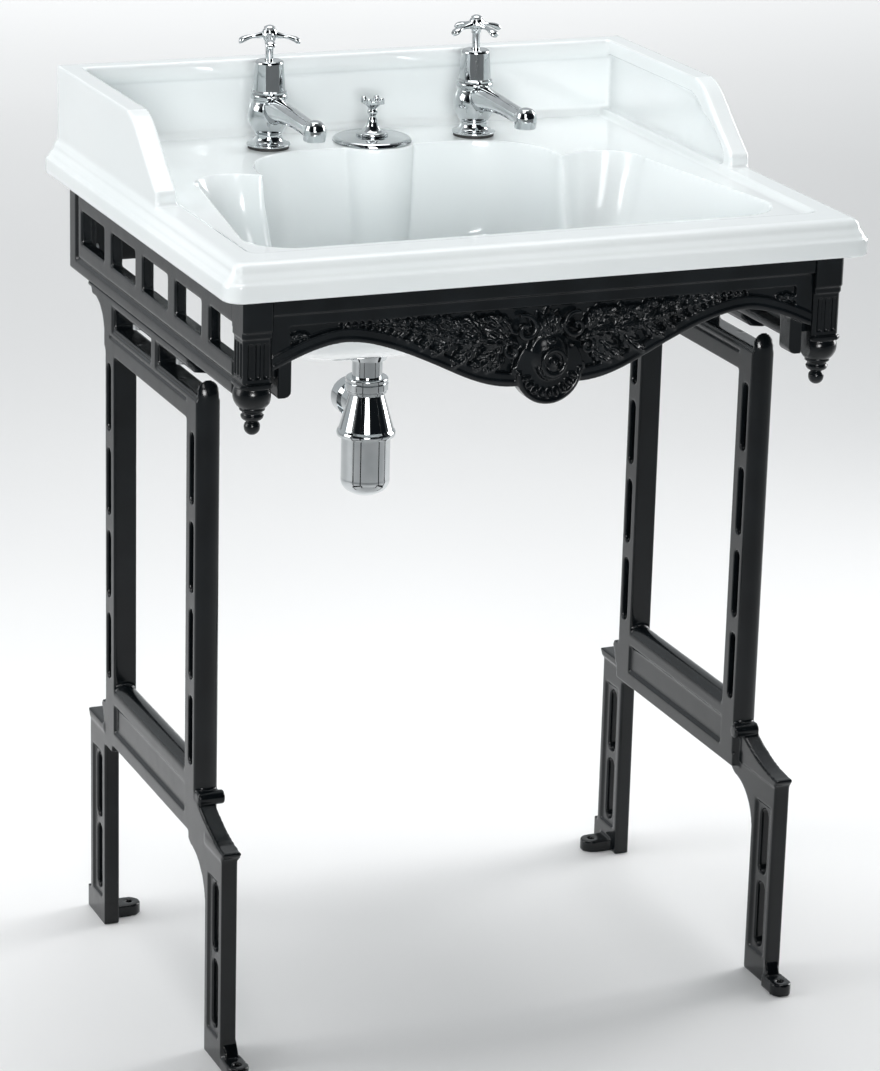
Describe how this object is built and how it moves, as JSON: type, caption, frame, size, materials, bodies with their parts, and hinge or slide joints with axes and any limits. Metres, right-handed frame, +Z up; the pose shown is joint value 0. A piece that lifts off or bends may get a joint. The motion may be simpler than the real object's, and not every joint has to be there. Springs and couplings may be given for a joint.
{
  "type": "console sink with legs",
  "caption": "White ceramic washbasin with upstand on a black openwork cast stand, with cross-handle pillar taps, a lift-up plunger waste and a bottle trap.",
  "frame": {"origin": "on the floor, below the middle of the basin", "axes": "+X to the right of a person using it, -Y towards the person, +Y to the wall, +Z up"},
  "size_m": [0.65, 0.56, 0.9367],
  "materials": {
    "white_ceramic": "gloss glaze",
    "black_casting": "black satin paint",
    "chrome": "polished",
    "brass": "machined",
    "steel": "zinc plated",
    "rubber": "matt",
    "valve_ceramic": "lapped"
  },
  "bodies": {
    "stand_and_basin": {"basin": "white_ceramic", "basin_pads": "rubber", "side_rail_right": "black_casting", "side_rail_left": "black_casting", "leg_frame_right": "black_casting", "leg_frame_left": "black_casting", "rear_rail": "black_casting", "corner_post_right": "black_casting", "corner_post_left": "black_casting", "pendant_right": "black_casting", "pendant_left": "black_casting", "front_apron": "black_casting", "leg_frame_screws": "steel", "rear_rail_screws": "steel", "corner_post_screws": "steel", "front_apron_screws": "steel", "tap_base_gaskets": "rubber", "tap_washers": "rubber", "tap_backnuts": "brass", "waste_escutcheon": "chrome", "waste_body": "chrome", "waste_washer": "rubber", "waste_backnut": "chrome", "trap_inlet_nut": "chrome", "trap_inlet_seal": "rubber", "trap_body": "chrome", "trap_dip_tube": "brass", "trap_cup": "chrome", "trap_cup_seal": "rubber", "trap_outlet_nut": "chrome", "trap_outlet_seal": "rubber", "tap_body_right": "chrome", "tap_bonnet_right": "chrome", "tap_headwork_right": "brass", "tap_fixed_disc_right": "valve_ceramic", "tap_body_left": "chrome", "tap_bonnet_left": "chrome", "tap_headwork_left": "brass", "tap_fixed_disc_left": "valve_ceramic"},
    "right_tap_spindle": {"tap_moving_disc_right": "valve_ceramic", "tap_spindle_right": "chrome", "tap_handle_right": "chrome", "tap_index_cap_right": "chrome"},
    "left_tap_spindle": {"tap_moving_disc_left": "valve_ceramic", "tap_spindle_left": "chrome", "tap_handle_left": "chrome", "tap_index_cap_left": "chrome"},
    "plunger": {"waste_standpipe": "chrome", "waste_plug_seal": "rubber"},
    "knob": {"waste_knob": "chrome", "waste_lift_rod": "chrome"}
  },
  "joints": [
    {"name": "left_tap_turn", "type": "hinge", "parent": "stand_and_basin", "child": "left_tap_spindle", "pos_m": [-0.113, 0.201, 0.926], "axis": [0, 0, 1], "range_deg": [0, 90]},
    {"name": "right_tap_turn", "type": "hinge", "parent": "stand_and_basin", "child": "right_tap_spindle", "pos_m": [0.113, 0.201, 0.926], "axis": [0, 0, 1], "range_deg": [-90, 0]},
    {"name": "waste_lift", "type": "slide", "parent": "stand_and_basin", "child": "plunger", "axis": [0, 0, 1], "range_m": [0, 0.02]},
    {"name": "knob_turn", "type": "hinge", "parent": "plunger", "child": "knob", "pos_m": [0, 0.201, 0.84], "axis": [0, 0, 1], "range_deg": [0, 90]}
  ]
}
